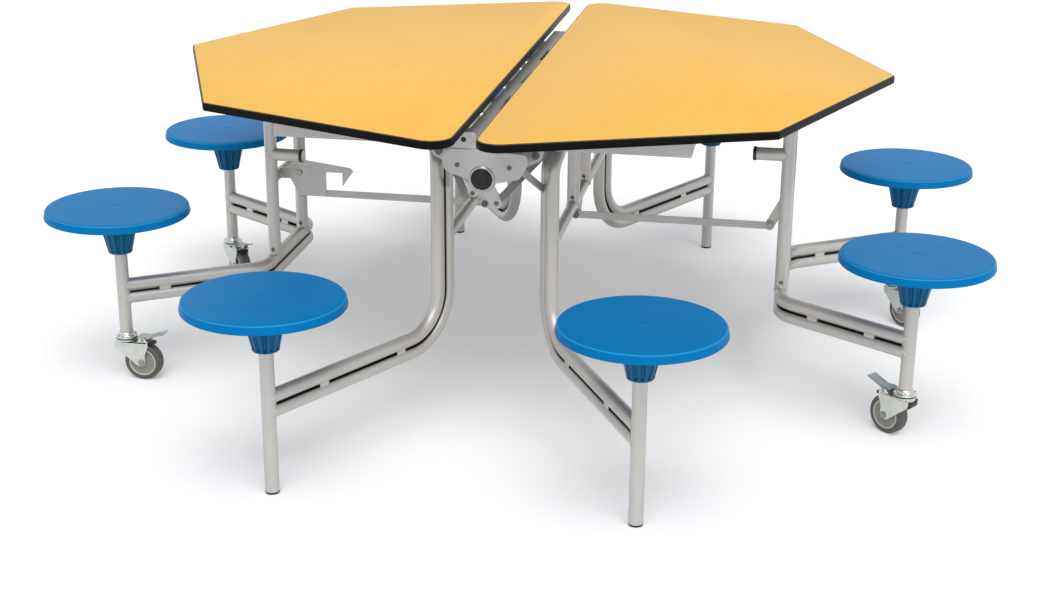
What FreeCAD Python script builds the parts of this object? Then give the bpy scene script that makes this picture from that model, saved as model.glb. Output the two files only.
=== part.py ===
# Folding octagonal dining table with eight attached swivel seats.
#
# X runs across the fold, from the left half-top to the right one, Y runs along
# the gap between them, and Z is up.  The origin is on the floor under the
# middle of the table.  All sizes are in millimetres.
#
# A centre unit stands on four fixed feet and carries four seats.  Two
# half-tops are hinged to it, and each one is hinged to an outer frame that
# stands on two casters and carries two seats.  A flat link bar on each side
# makes the fourth bar of a parallelogram, so an outer frame stays upright
# while the centre unit rises and the half-tops hang down.
import FreeCAD, Part
import math
import os

Vector = FreeCAD.Vector

# Table top
top_across_flats = 1524.0
top_gap = 46.0
top_height = 735.0
board_thickness = 18.0
band_thickness = 3.0
band_bevel = 1.5
cut_corner_radius = 45.0
outer_corner_radius = 14.0

# Steel tubes
frame_tube_radius = 15.0
rail_tube_radius = 12.5
beam_tube_radius = 21.5
twin_tube_gap = 2.0
vent_hole_radius = 5.0
vent_hole_depth = 12.0

# Seats
seat_circle_radius = 984.0
seat_height = 428.0
seat_diameter = 334.0
seat_thickness = 20.0
seat_top_inset = 7.0
seat_shoulder_inset = 1.5
seat_shoulder_drop = 8.0
seat_foot_bevel = 3.0
hub_height = 92.0
hub_top_radius = 50.0
hub_foot_radius = 28.0
hub_flutes = 12
hub_groove_share = 0.86
hub_bore_depth = 72.0
turning_clearance = 0.05
resting_gap = 0.3

# Inner frames of the centre unit
upright_x = 120.0
upright_y = 440.0
inner_arm_z = 196.0
inner_bend_radius = 110.0
head_reach_x = 17.0
head_reach_y = 51.0
head_bend_radius = 45.0
rail_z = 410.0
rail_post_y = 94.0
glide_height = 5.0
glide_lip = 0.4
spacer_length = 26.0
spacer_width = 20.0
spacer_shares = (0.28, 0.72)

# Pivots of the folding linkage, below the table top and along the rail
half_pivot_x = 104.0
half_pivot_depth = 90.0
half_pivot_y = 530.0
outer_hinge_setback = 50.0
link_pivot_x = 117.0
link_pivot_drop = 44.0
link_y = 26.0
link_width = 17.0
link_thickness = 5.0
link_eye_radius = 11.0
pivot_bolt_radius = 5.0
bolt_head_radius = 8.5
bolt_head_height = 4.0
rivet_head_height = 2.0
ear_thickness = 6.0
ear_root_margin = 5.0
ear_eye_radius = 15.0
cheek_thickness = 4.0
cheek_gap = 1.0
cheek_width = 56.0
cheek_flange = 16.0

# Centre beam, wing plates and the plates that tie the frames together, from the half-top pivots' height
beam_drop = 41.0
beam_half_length = 592.5
beam_plug_length = 6.0
beam_plug_radius = 22.5
wing_y = 590.0
wing_thickness = 5.0
wing_tips = {"left": (58.0, 4.0), "right": (70.0, 10.0)}
wing_tip_radius = 26.0
wing_root_radius = 38.0
wing_lobe_x = 31.0
wing_lobe_drop = 92.0
wing_heel_x = 20.0
wing_heel_drop = 73.0
wing_lobe_radius = 12.0
wing_bolts = {"left": (52.0, 13.0), "right": (58.0, 14.0)}
flap_start_x = 72.0
flap_end_x = 12.0
flap_rise = 57.0
flap_slant = 18.0
flap_hole_x = 39.0
flap_hole_rise = 41.0
flap_hole_radius = 5.0
bridge_rise = 5.0
bridge_thickness = 5.0
bridge_half_length = 142.0
bridge_width = 50.0
bridge_web_thickness = 6.0
bridge_web_half_width = 16.0
cover_half_width = 40.0
cover_rise = 47.0
cover_wall = 3.0
cover_window_length = 130.0
cover_window_half_width = 16.0
stay_width = 16.0
stay_thickness = 4.0
stay_foot_drop = 100.0
head_bend_drop = 70.0
head_end_rise = 10.0

# Under-frames of the half-tops
channel_y = 610.0
channel_start_x = 110.0
channel_end_x = 436.0
channel_width = 36.0
channel_depth = 35.0
channel_wall = 3.0
middle_channel_start_x = 150.0
middle_channel_end_x = 540.0

# Outer frames
outer_long_x = 621.0
outer_corner_y = 185.0
outer_arm_z = 218.0
outer_bend_radius = 70.0
leg_setback = 1.0
leg_y = 113.0
cross_tube_z = 436.0
gusset_drop = 46.0
hinge_barrel_radius = 11.0
hinge_barrel_half_length = 16.5
buffer_reach = 82.0
buffer_drops = {"left": 146.0, "right": 81.0}
buffer_cap_length = 12.0
buffer_cap_wall = 1.5

# Latch hook, from its pivot on the cross tube
hook_y = 60.0
hook_thickness = 4.0
hook_pivot_setback = 53.0
hook_pivot_rise = 5.0
hook_tail = 13.0
hook_shoulder = 9.0
hook_nose_reach = 137.0
hook_nose_blunt = 8.0
hook_top_rise = 33.0
hook_nose_rise = 18.0
hook_point_drop = 29.0
hook_low_drop = 57.0
hook_mouth_start = 68.0
hook_mouth_end = 110.0
hook_mouth_rise = 5.0

# Casters
post_foot_z = 118.0
wheel_radius = 45.0
wheel_width = 28.0
wheel_rim_radius = 32.0
wheel_rim_recess = 2.0
wheel_hub_radius = 10.0
wheel_hub_half_length = 15.0
axle_radius = 5.0
caster_trail = 40.0
king_pin_radius = 6.0
race_radius = 26.0
race_low_z = 98.0
race_top_z = 109.0
stem_radius = 19.0
fork_half_width = 19.0
fork_wall = 3.0
fork_crown_z = 97.5
fork_crown_thickness = 4.0
fork_back_x = 24.0
fork_front_x = 58.0
fork_back_depth = 15.0
fork_front_depth = 12.0
fork_foot_half_width = 9.0
fork_foot_drop = 5.0
fork_knee_rise = 20.0
fork_horn_half_width = 5.0
fork_horn_rise = 4.0
fork_horn_run = 14.0
axle_nut_height = 3.0
pedal_pin_x = 46.0
pedal_pin_z = 103.0
pedal_pin_radius = 2.5
pedal_start_x = 31.0
pedal_bend_x = 62.0
pedal_end_x = 98.0
pedal_rise = 12.0
pedal_thickness = 2.5
pedal_half_width = 14.0
pedal_flange_depth = 7.0
trail_angles = {"left_near": 0.0, "left_far": -45.0, "right_near": 138.0, "right_far": -48.0}

# Sizes that follow from the ones above
board_low_z = top_height - board_thickness
half_pivot_z = top_height - half_pivot_depth
head_bend_z = half_pivot_z - head_bend_drop
head_end_z = half_pivot_z + head_end_rise
beam_z = half_pivot_z - beam_drop
stay_tip_x, stay_tip_drop = wing_tips["right"]
stay_tip_z = half_pivot_z - stay_tip_drop
bridge_z = half_pivot_z + bridge_rise
cover_top_z = half_pivot_z + cover_rise
link_pivot_z = rail_z - link_pivot_drop
leg_x = outer_long_x - leg_setback
outer_pivot_x = leg_x - outer_hinge_setback
far_link_x = link_pivot_x + outer_pivot_x - half_pivot_x
hook_pivot_x = leg_x - hook_pivot_setback
hook_pivot_z = cross_tube_z + hook_pivot_rise
seat_low_z = seat_height - seat_thickness
hub_low_z = seat_low_z - hub_height
post_top_z = hub_low_z + hub_bore_depth - resting_gap
half_pitch = frame_tube_radius + twin_tube_gap / 2
link_face_y = -link_y - link_thickness / 2 - cheek_gap
lug_low_y = -link_y + link_thickness / 2 + cheek_gap
lug_high_y = lug_low_y + ear_thickness
bracket_low_y = -hook_y + hook_thickness / 2 + cheek_gap / 2
bracket_high_y = bracket_low_y + hook_thickness
seat_angle = math.radians(22.5)
inner_post = Vector(seat_circle_radius * math.sin(seat_angle), -seat_circle_radius * math.cos(seat_angle), 0)
outer_post = Vector(seat_circle_radius * math.cos(seat_angle), -seat_circle_radius * math.sin(seat_angle), 0)
SIDES = {"left": -1, "right": 1}
ENDS = {"near": -1, "far": 1}


def mirror_x(shape):
    return shape.mirror(Vector(0, 0, 0), Vector(1, 0, 0))


def mirror_y(shape):
    return shape.mirror(Vector(0, 0, 0), Vector(0, 1, 0))


def half_turn(shape):
    """The piece as it lies after the whole table is turned half round."""
    return mirror_x(mirror_y(shape))


def both_ends(shape):
    """The piece at the near end and its twin at the far end, as separate solids."""
    return [shape, mirror_y(shape)]


def on_side(shape, side):
    """A piece drawn for the right side, put on the side that is asked for."""
    return shape if SIDES[side] > 0 else mirror_x(shape)


def turned_to(shape, side):
    """A piece drawn for the right side; the left one is the same piece turned half round."""
    return shape if SIDES[side] > 0 else half_turn(shape)


def joined(shapes):
    """One welded solid."""
    return shapes[0].multiFuse(shapes[1:]).removeSplitter()


def save(node, shapes):
    """Write one node; a list becomes a group of separate solids."""
    shape = Part.makeCompound(shapes) if isinstance(shapes, list) else shapes
    shape.exportStep("parts/" + node + ".step")


def rod(start, end, radius):
    along = end.sub(start)
    return Part.makeCylinder(radius, along.Length, start, along)


def box(low, high):
    size = high.sub(low)
    return Part.makeBox(size.x, size.y, size.z, low)


def bent_tube(points, bend_radius, radius):
    """A round bar through the points, each inner corner bent to bend_radius."""
    edges = []
    start = points[0]
    for before, corner, after in zip(points, points[1:], points[2:]):
        inward = before.sub(corner).normalize()
        outward = after.sub(corner).normalize()
        half_turn = (math.pi - inward.getAngle(outward)) / 2
        tangent_length = bend_radius * math.tan(half_turn)
        bend_start = corner.add(inward * tangent_length)
        bend_end = corner.add(outward * tangent_length)
        bisector = inward.add(outward).normalize()
        middle = corner.add(bisector * (bend_radius / math.cos(half_turn) - bend_radius))
        edges.append(Part.LineSegment(start, bend_start).toShape())
        edges.append(Part.Arc(bend_start, middle, bend_end).toShape())
        start = bend_end
    edges.append(Part.LineSegment(start, points[-1]).toShape())
    section = Part.Face(Part.Wire(Part.makeCircle(radius, points[0], points[1].sub(points[0]))))
    return Part.Wire(edges).makePipe(section)


def plate(outline, low_y, high_y):
    """A flat plate that stands in an XZ plane; the outline is a list of (x, z)."""
    corners = [Vector(x, low_y, z) for x, z in outline]
    return Part.Face(Part.makePolygon(corners + corners[:1])).extrude(Vector(0, high_y - low_y, 0))


def strap(first, first_radius, second, second_radius, low_y, high_y):
    """A plate in an XZ plane with a round end about each of two (x, z) points."""
    start = Vector(first[0], low_y, first[1])
    end = Vector(second[0], low_y, second[1])
    along = end.sub(start)
    heading = math.atan2(along.z, along.x)
    opening = math.acos((first_radius - second_radius) / along.Length)

    def at(centre, radius, angle):
        return centre.add(Vector(radius * math.cos(angle), 0, radius * math.sin(angle)))

    start_left = at(start, first_radius, heading + opening)
    start_right = at(start, first_radius, heading - opening)
    end_left = at(end, second_radius, heading + opening)
    end_right = at(end, second_radius, heading - opening)
    edges = [
        Part.LineSegment(start_left, end_left).toShape(),
        Part.Arc(end_left, at(end, second_radius, heading), end_right).toShape(),
        Part.LineSegment(end_right, start_right).toShape(),
        Part.Arc(start_right, at(start, first_radius, heading + math.pi), start_left).toShape(),
    ]
    return Part.Face(Part.Wire(edges)).extrude(Vector(0, high_y - low_y, 0))


def pin_y(x, z, radius, low_y, high_y):
    return rod(Vector(x, low_y, z), Vector(x, high_y, z), radius)


def flat_bar(start, end, width, thickness, face_normal):
    """A straight flat bar between two points, its broad face towards face_normal."""
    along = end.sub(start).normalize()
    across = face_normal.cross(along).normalize()
    normal = along.cross(across).normalize()
    corner = start.add(across * (-width / 2)).add(normal * (-thickness / 2))
    corners = [corner, corner.add(across * width), corner.add(across * width).add(normal * thickness)]
    corners.append(corner.add(normal * thickness))
    return Part.Face(Part.makePolygon(corners + corners[:1])).extrude(end.sub(start))


def bolt(x, z, low_y, high_y):
    """A pivot bolt along Y between two plates' outer faces, with its head and its nut."""
    shank = pin_y(x, z, pivot_bolt_radius, low_y - bolt_head_height, high_y + bolt_head_height)
    head = hexagon(x, z, low_y - bolt_head_height, low_y)
    nut = hexagon(x, z, high_y, high_y + bolt_head_height)
    return joined([shank, head, nut])


def hexagon(x, z, low_y, high_y):
    corners = []
    for corner in range(6):
        angle = math.radians(60 * corner)
        corners.append((x + bolt_head_radius * math.cos(angle), z + bolt_head_radius * math.sin(angle)))
    return plate(corners, low_y, high_y)


def half_top_outline(inset):
    """The outline of the right half-top, moved inwards by inset, as a rounded wire."""
    flat = top_across_flats / 2 - inset
    corner_reach = flat / math.cos(seat_angle)
    diagonal = corner_reach * math.sqrt(0.5)
    shift = top_gap / 2
    slope = math.tan(seat_angle)
    cut_y = corner_reach - slope * inset
    corners = [
        (Vector(shift + inset, -cut_y, 0), cut_corner_radius - inset),
        (Vector(shift + diagonal, -diagonal, 0), outer_corner_radius - inset),
        (Vector(shift + corner_reach, 0, 0), outer_corner_radius - inset),
        (Vector(shift + diagonal, diagonal, 0), outer_corner_radius - inset),
        (Vector(shift + inset, cut_y, 0), cut_corner_radius - inset),
    ]
    edges = []
    starts = []
    ends = []
    for index, (corner, radius) in enumerate(corners):
        inward = corners[index - 1][0].sub(corner).normalize()
        outward = corners[(index + 1) % len(corners)][0].sub(corner).normalize()
        half_turn = (math.pi - inward.getAngle(outward)) / 2
        tangent_length = radius * math.tan(half_turn)
        bend_start = corner.add(inward * tangent_length)
        bend_end = corner.add(outward * tangent_length)
        bisector = inward.add(outward).normalize()
        middle = corner.add(bisector * (radius / math.cos(half_turn) - radius))
        edges.append(Part.Arc(bend_start, middle, bend_end).toShape())
        starts.append(bend_start)
        ends.append(bend_end)
    for index, end in enumerate(ends):
        edges.append(Part.LineSegment(end, starts[(index + 1) % len(starts)]).toShape())
    return Part.Wire(Part.__sortEdges__(edges))


def half_top_slab(inset, low_z, high_z):
    outline = half_top_outline(inset)
    outline.translate(Vector(0, 0, low_z))
    return Part.Face(outline).extrude(Vector(0, 0, high_z - low_z))


def tabletop(side):
    """Laminated board, set inside its edge band."""
    return on_side(half_top_slab(band_thickness, board_low_z, top_height), side)


def edge_band(side):
    """Moulded band round the whole edge of a half-top, bevelled above and below."""
    full = half_top_slab(0, board_low_z + band_bevel, top_height - band_bevel)
    foot = Part.makeLoft([raised(half_top_outline(band_bevel), board_low_z),
                          raised(half_top_outline(0), board_low_z + band_bevel)], True, True)
    head = Part.makeLoft([raised(half_top_outline(0), top_height - band_bevel),
                          raised(half_top_outline(band_bevel), top_height)], True, True)
    ring = full.multiFuse([foot, head]).cut(half_top_slab(band_thickness, board_low_z, top_height))
    return on_side(ring.removeSplitter(), side)


def raised(wire, z):
    wire.translate(Vector(0, 0, z))
    return wire


def channel_x(y, start_x, end_x):
    """A steel channel along X, open downwards, screwed to the board's underside."""
    low_z = board_low_z - channel_depth
    half_width = channel_width / 2
    outer = box(Vector(start_x, y - half_width, low_z), Vector(end_x, y + half_width, board_low_z))
    inner = box(Vector(start_x, y - half_width + channel_wall, low_z),
                Vector(end_x, y + half_width - channel_wall, board_low_z - channel_wall))
    return outer.cut(inner)


def under_frame(side):
    """Welded frame of channels under a half-top: one along each end, one across, one in the middle."""
    low_z = board_low_z - channel_depth
    cross_x = channel_end_x - channel_width
    cross_outer = box(Vector(cross_x, -channel_y, low_z), Vector(channel_end_x, channel_y, board_low_z))
    cross_inner = box(Vector(cross_x + channel_wall, -channel_y, low_z),
                      Vector(channel_end_x - channel_wall, channel_y, board_low_z - channel_wall))
    ends = [channel_x(sign * channel_y, channel_start_x, channel_end_x) for sign in ENDS.values()]
    middle = channel_x(0, middle_channel_start_x, middle_channel_end_x)
    frame = joined(ends + [middle, cross_outer.cut(cross_inner)])
    return on_side(frame, side)


def hinge_cheek(x, low_y, flange_sign):
    """One side of a hinge bracket: a tapered plate with an eye, and a flange under the board."""
    high_y = low_y + cheek_thickness
    half_width = cheek_width / 2
    eye = pin_y(x, half_pivot_z, ear_eye_radius, low_y, high_y)
    web = plate([(x - half_width, board_low_z), (x - ear_eye_radius, half_pivot_z),
                 (x + ear_eye_radius, half_pivot_z), (x + half_width, board_low_z)], low_y, high_y)
    flange_low_y = low_y if flange_sign > 0 else high_y - cheek_flange
    flange = box(Vector(x - half_width, flange_low_y, board_low_z - cheek_thickness),
                 Vector(x + half_width, flange_low_y + cheek_flange, board_low_z))
    bore = pin_y(x, half_pivot_z, pivot_bolt_radius + turning_clearance, low_y, high_y)
    return joined([eye, web, flange]).cut(bore)


def hinge_brackets(side):
    """Pairs of cheeks under a half-top: at the centre unit's ears and at the outer frame's barrels."""
    ear_low_y = -half_pivot_y - ear_thickness / 2 - cheek_gap - cheek_thickness
    ear_high_y = -half_pivot_y + ear_thickness / 2 + cheek_gap
    barrel_low_y = -leg_y - hinge_barrel_half_length - cheek_gap - cheek_thickness
    barrel_high_y = -leg_y + hinge_barrel_half_length + cheek_gap
    near = [
        hinge_cheek(half_pivot_x, ear_low_y, -1),
        hinge_cheek(half_pivot_x, ear_high_y, 1),
        hinge_cheek(outer_pivot_x, barrel_low_y, -1),
        hinge_cheek(outer_pivot_x, barrel_high_y, 1),
    ]
    cheeks = [cheek for piece in near for cheek in both_ends(piece)]
    return [on_side(cheek, side) for cheek in cheeks]


def arm_spacers(start, end, z):
    """Two short blocks welded into the groove between the twin tubes of an arm."""
    along = end.sub(start)
    heading = Vector(along).normalize()
    side = Vector(-heading.y, heading.x, 0)
    spacers = []
    for share in spacer_shares:
        centre = start.add(along * share).add(Vector(0, 0, z))
        foot = centre.sub(heading * (spacer_length / 2))
        head = centre.add(heading * (spacer_length / 2))
        spacers.append(flat_bar(foot, head, half_pitch, spacer_width, side))
    return spacers


def inner_leg():
    """Near right leg of the centre unit: twin tubes from the seat post, bent up to the top."""
    upright = Vector(upright_x, -upright_y, 0)
    heading = upright.sub(inner_post).normalize()
    pieces = [rod(inner_post.add(Vector(0, 0, glide_height)), inner_post.add(Vector(0, 0, post_top_z)),
                  frame_tube_radius)]
    for sign in (1, -1):
        arm_z = inner_arm_z + sign * half_pitch
        standing = upright.sub(heading * (sign * half_pitch))
        head = standing.add(Vector(head_reach_x, head_reach_y, 0))
        route = [
            Vector(inner_post.x, inner_post.y, arm_z),
            Vector(standing.x, standing.y, arm_z),
            Vector(standing.x, standing.y, head_bend_z),
        ]
        pieces.append(bent_tube(route, inner_bend_radius - sign * half_pitch, frame_tube_radius))
        pieces.append(bent_tube([Vector(standing.x, standing.y, head_bend_z - head_bend_radius),
                                 Vector(standing.x, standing.y, head_bend_z + head_bend_radius / 2),
                                 Vector(head.x, head.y, head_end_z)], head_bend_radius, frame_tube_radius))
    pieces += arm_spacers(inner_post, upright, inner_arm_z)
    return joined(pieces)


def vent_hole(x, y, low_z):
    """Drain hole in the near face of a tube, just above the tube that it stands on."""
    mouth = Vector(x, y - frame_tube_radius, low_z + 2 * vent_hole_radius)
    return rod(mouth, mouth.add(Vector(0, vent_hole_depth, 0)), vent_hole_radius)


def rail_lug():
    """Lug under the rail, behind the link bar's inner eye."""
    lug = strap((link_pivot_x, link_pivot_z), link_eye_radius, (upright_x, rail_z), rail_tube_radius,
                lug_low_y, lug_high_y)
    return lug.cut(pin_y(link_pivot_x, link_pivot_z, pivot_bolt_radius, lug_low_y, lug_high_y))


def inner_frame(side):
    """Welded side frame of the centre unit: two legs, the rail between them and its two posts."""
    near = inner_leg()
    rail_reach = upright_y - half_pitch
    rail = pin_y(upright_x, rail_z, rail_tube_radius, -rail_reach, rail_reach)
    pieces = [near, mirror_y(near), rail]
    for sign in ENDS.values():
        foot = Vector(upright_x, sign * rail_post_y, rail_z)
        pieces.append(rod(foot, Vector(foot.x, foot.y, bridge_z), frame_tube_radius))
    frame = joined(pieces)
    for sign in ENDS.values():
        frame = frame.cut(vent_hole(upright_x, sign * rail_post_y, rail_z + rail_tube_radius))
    return joined([on_side(frame, side), turned_to(rail_lug(), side)])


def foot_caps():
    """Moulded glides under the four fixed seat posts."""
    glide = rod(inner_post, inner_post.add(Vector(0, 0, glide_height)), frame_tube_radius + glide_lip)
    glides = both_ends(glide)
    return glides + [mirror_x(piece) for piece in glides]


def beam_envelope():
    return rod(Vector(0, -beam_half_length, beam_z), Vector(0, beam_half_length, beam_z), beam_tube_radius)


def hinge_ears():
    """Plates welded across the beam, with an eye for each half-top's hinge bolt."""
    low_y = -half_pivot_y - ear_thickness / 2
    high_y = -half_pivot_y + ear_thickness / 2
    arms = []
    for sign in SIDES.values():
        arms.append(strap((0, beam_z), beam_tube_radius + ear_root_margin,
                          (sign * half_pivot_x, half_pivot_z), ear_eye_radius, low_y, high_y))
    ear = joined(arms)
    for sign in SIDES.values():
        ear = ear.cut(pin_y(sign * half_pivot_x, half_pivot_z, pivot_bolt_radius, low_y, high_y))
    return both_ends(ear)


def centre_beam():
    """Round tube along the gap with the two hinge plates welded on it."""
    return joined([beam_envelope()] + hinge_ears())


def beam_plugs():
    """Domed black plugs that close the beam's ends."""
    plug = rod(Vector(0, -beam_half_length - beam_plug_length, beam_z), Vector(0, -beam_half_length, beam_z),
               beam_plug_radius)
    return both_ends(plug)


def wing_plate():
    """Pressed end plate about the beam: two wings, a lobe, a shorter heel and a flap up into the gap."""
    low_y = -wing_y - wing_thickness / 2
    high_y = -wing_y + wing_thickness / 2
    pieces = []
    for side, (reach, drop) in wing_tips.items():
        pieces.append(strap((0, beam_z + beam_tube_radius), wing_root_radius,
                            (SIDES[side] * reach, half_pivot_z - drop), wing_tip_radius, low_y, high_y))
    for x, drop in ((wing_lobe_x, wing_lobe_drop), (-wing_heel_x, wing_heel_drop)):
        pieces.append(strap((0, beam_z), beam_tube_radius + ear_root_margin, (x, half_pivot_z - drop),
                            wing_lobe_radius, low_y, high_y))
    flap_foot_z = half_pivot_z - wing_tips["left"][1]
    pieces.append(plate([(-flap_start_x, flap_foot_z), (-flap_start_x, half_pivot_z + flap_rise - flap_slant),
                         (-flap_start_x + flap_slant, half_pivot_z + flap_rise),
                         (-flap_end_x, half_pivot_z + flap_rise), (-flap_end_x, flap_foot_z)], low_y, high_y))
    hole = pin_y(-flap_hole_x, half_pivot_z + flap_hole_rise, flap_hole_radius, low_y, high_y)
    return joined(pieces).cut(beam_envelope()).cut(hole)


def bridge_plates(frames):
    """Four plates across the centre unit that seat on the frames, with a web down to the beam."""
    plates = []
    head_y = upright_y - head_reach_y + frame_tube_radius / 2
    for centre_y in (-head_y, -rail_post_y, rail_post_y, head_y):
        deck = box(Vector(-bridge_half_length, centre_y - bridge_width / 2, bridge_z),
                   Vector(bridge_half_length, centre_y + bridge_width / 2, bridge_z + bridge_thickness))
        web = box(Vector(-bridge_web_half_width, centre_y - bridge_web_thickness / 2, beam_z),
                  Vector(bridge_web_half_width, centre_y + bridge_web_thickness / 2, bridge_z))
        plates.append(joined([deck, web]).cut(beam_envelope()).cut(frames))
    return plates


def gap_cover():
    """Long pressed cover along the gap, on the bridge plates, with windows in its top."""
    low_z = bridge_z + bridge_thickness
    half_length = wing_y - wing_thickness / 2
    hollow_half_width = cover_half_width - cover_wall
    hollow_half_length = half_length - cover_wall
    outer = box(Vector(-cover_half_width, -half_length, low_z),
                Vector(cover_half_width, half_length, cover_top_z))
    inner = box(Vector(-hollow_half_width, -hollow_half_length, low_z),
                Vector(hollow_half_width, hollow_half_length, cover_top_z - cover_wall))
    cover = outer.cut(inner)
    window_y = (upright_y + rail_post_y) / 2
    for centre_y in (-window_y, 0, window_y):
        window = box(Vector(-cover_window_half_width, centre_y - cover_window_length / 2, low_z),
                     Vector(cover_window_half_width, centre_y + cover_window_length / 2, cover_top_z))
        cover = cover.cut(window)
    return cover


def stays(frames, beam, bridges):
    """Flat bars at each end: wing tip to upright, and lower lobe to the leg's head."""
    near_y = -wing_y + wing_thickness / 2
    tip = Vector(stay_tip_x, near_y, stay_tip_z)
    foot = Vector(upright_x - frame_tube_radius, -upright_y, half_pivot_z - stay_foot_drop)
    lobe = Vector(wing_lobe_x, near_y, half_pivot_z - wing_lobe_drop)
    head = Vector(upright_x, -upright_y + frame_tube_radius, head_end_z - stay_width)
    bars = [
        flat_bar(tip, foot, stay_width, stay_thickness, Vector(1, 0, 0)),
        flat_bar(lobe, head, stay_width, stay_thickness, Vector(0, -1, 0)),
    ]
    wing_side = box(Vector(-upright_x, -upright_x + near_y, 0), Vector(upright_x, near_y, top_height))
    keep_out = joined([frames, beam, wing_side])
    shapes = [bar.cut(keep_out).cut(bridges).Solids[0] for bar in bars]
    return [copy for shape in shapes for twin in both_ends(shape) for copy in (twin, mirror_x(twin))]


def centre_bolts():
    """Bolts of the half-top hinges, of the wing plates and of the link bars."""
    ear_reach = ear_thickness / 2 + cheek_gap + cheek_thickness
    near = [bolt(half_pivot_x, half_pivot_z, -half_pivot_y - ear_reach, -half_pivot_y + ear_reach)]
    bolts = [copy for piece in near for twin in both_ends(piece) for copy in (twin, mirror_x(twin))]
    wing_face_y = -wing_y - wing_thickness / 2
    heads = [(SIDES[side] * reach, drop) for side, (reach, drop) in wing_bolts.items()]
    for x, drop in heads + [(wing_lobe_x, wing_lobe_drop), (-wing_heel_x, wing_heel_drop)]:
        head = pin_y(x, half_pivot_z - drop, pivot_bolt_radius, wing_face_y - rivet_head_height, wing_face_y)
        bolts += [head, half_turn(head)]
    link_bolt = bolt(link_pivot_x, link_pivot_z, link_face_y, lug_high_y)
    return bolts + [link_bolt, half_turn(link_bolt)]


def link_bar(side):
    """Flat bar with an eye at each end, parallel to the half-top."""
    low_y = -link_y - link_thickness / 2
    high_y = low_y + link_thickness
    pieces = [box(Vector(link_pivot_x, low_y, link_pivot_z - link_width / 2),
                  Vector(far_link_x, high_y, link_pivot_z + link_width / 2))]
    for x in (link_pivot_x, far_link_x):
        pieces.append(pin_y(x, link_pivot_z, link_eye_radius, low_y, high_y))
    link = joined(pieces)
    link = link.cut(pin_y(link_pivot_x, link_pivot_z, pivot_bolt_radius + turning_clearance, low_y, high_y))
    link = link.cut(pin_y(far_link_x, link_pivot_z, pivot_bolt_radius + resting_gap, low_y, high_y))
    return turned_to(link, side)


def outer_half():
    """Near half of an outer frame: twin bent tubes, a seat post, a leg and its hinge barrel."""
    corner = Vector(outer_long_x, -outer_corner_y, 0)
    leg = Vector(leg_x, -leg_y, 0)
    pieces = [rod(outer_post.add(Vector(0, 0, post_foot_z)), outer_post.add(Vector(0, 0, post_top_z)),
                  frame_tube_radius)]
    for sign in (1, -1):
        arm_z = outer_arm_z + sign * half_pitch
        route = [
            Vector(outer_post.x, outer_post.y, arm_z),
            Vector(corner.x, corner.y, arm_z),
            Vector(outer_long_x, 0, arm_z),
        ]
        pieces.append(bent_tube(route, outer_bend_radius, frame_tube_radius))
    pieces += arm_spacers(outer_post, corner, outer_arm_z)
    pieces.append(rod(leg.add(Vector(0, 0, outer_arm_z + half_pitch)), leg.add(Vector(0, 0, head_end_z)),
                      frame_tube_radius))
    gusset = [(leg_x, head_end_z), (outer_pivot_x, half_pivot_z), (leg_x, half_pivot_z - gusset_drop)]
    pieces.append(plate(gusset, leg.y - ear_thickness / 2, leg.y + ear_thickness / 2))
    pieces.append(pin_y(outer_pivot_x, half_pivot_z, hinge_barrel_radius, leg.y - hinge_barrel_half_length,
                        leg.y + hinge_barrel_half_length))
    return joined(pieces)


def cross_lug():
    """Lug from the cross tube to the link bar's outer bolt."""
    lug = strap((far_link_x, link_pivot_z), link_eye_radius, (leg_x, cross_tube_z), rail_tube_radius,
                lug_low_y, lug_high_y)
    return lug.cut(pin_y(far_link_x, link_pivot_z, pivot_bolt_radius, lug_low_y, lug_high_y))


def outer_frame(side):
    """Welded outer frame: two equal halves, the cross tube, the buffer stub and the link's lug."""
    buffer_z = half_pivot_z - buffer_drops[side]
    near = outer_half()
    pieces = [
        near,
        mirror_y(near),
        rod(Vector(leg_x, -leg_y, cross_tube_z), Vector(leg_x, leg_y, cross_tube_z), rail_tube_radius),
        rod(Vector(leg_x, -leg_y, buffer_z), Vector(leg_x - buffer_reach + buffer_cap_wall, -leg_y, buffer_z),
            frame_tube_radius),
    ]
    if side == "left":
        pieces.append(hook_bracket())
    frame = joined(pieces)
    for y in (-leg_y, leg_y):
        frame = frame.cut(vent_hole(leg_x, y, outer_arm_z + 2 * half_pitch))
        frame = frame.cut(pin_y(outer_pivot_x, half_pivot_z, pivot_bolt_radius,
                                y - hinge_barrel_half_length, y + hinge_barrel_half_length))
    if side == "left":
        frame = frame.cut(pin_y(hook_pivot_x, hook_pivot_z, pivot_bolt_radius, bracket_low_y, bracket_high_y))
    return joined([on_side(frame, side), turned_to(cross_lug(), side)])


def hook_bracket():
    """Bracket on the cross tube that carries the latch hook's pivot."""
    return strap((leg_x, cross_tube_z), rail_tube_radius, (hook_pivot_x, hook_pivot_z), ear_eye_radius,
                 bracket_low_y, bracket_high_y)


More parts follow.
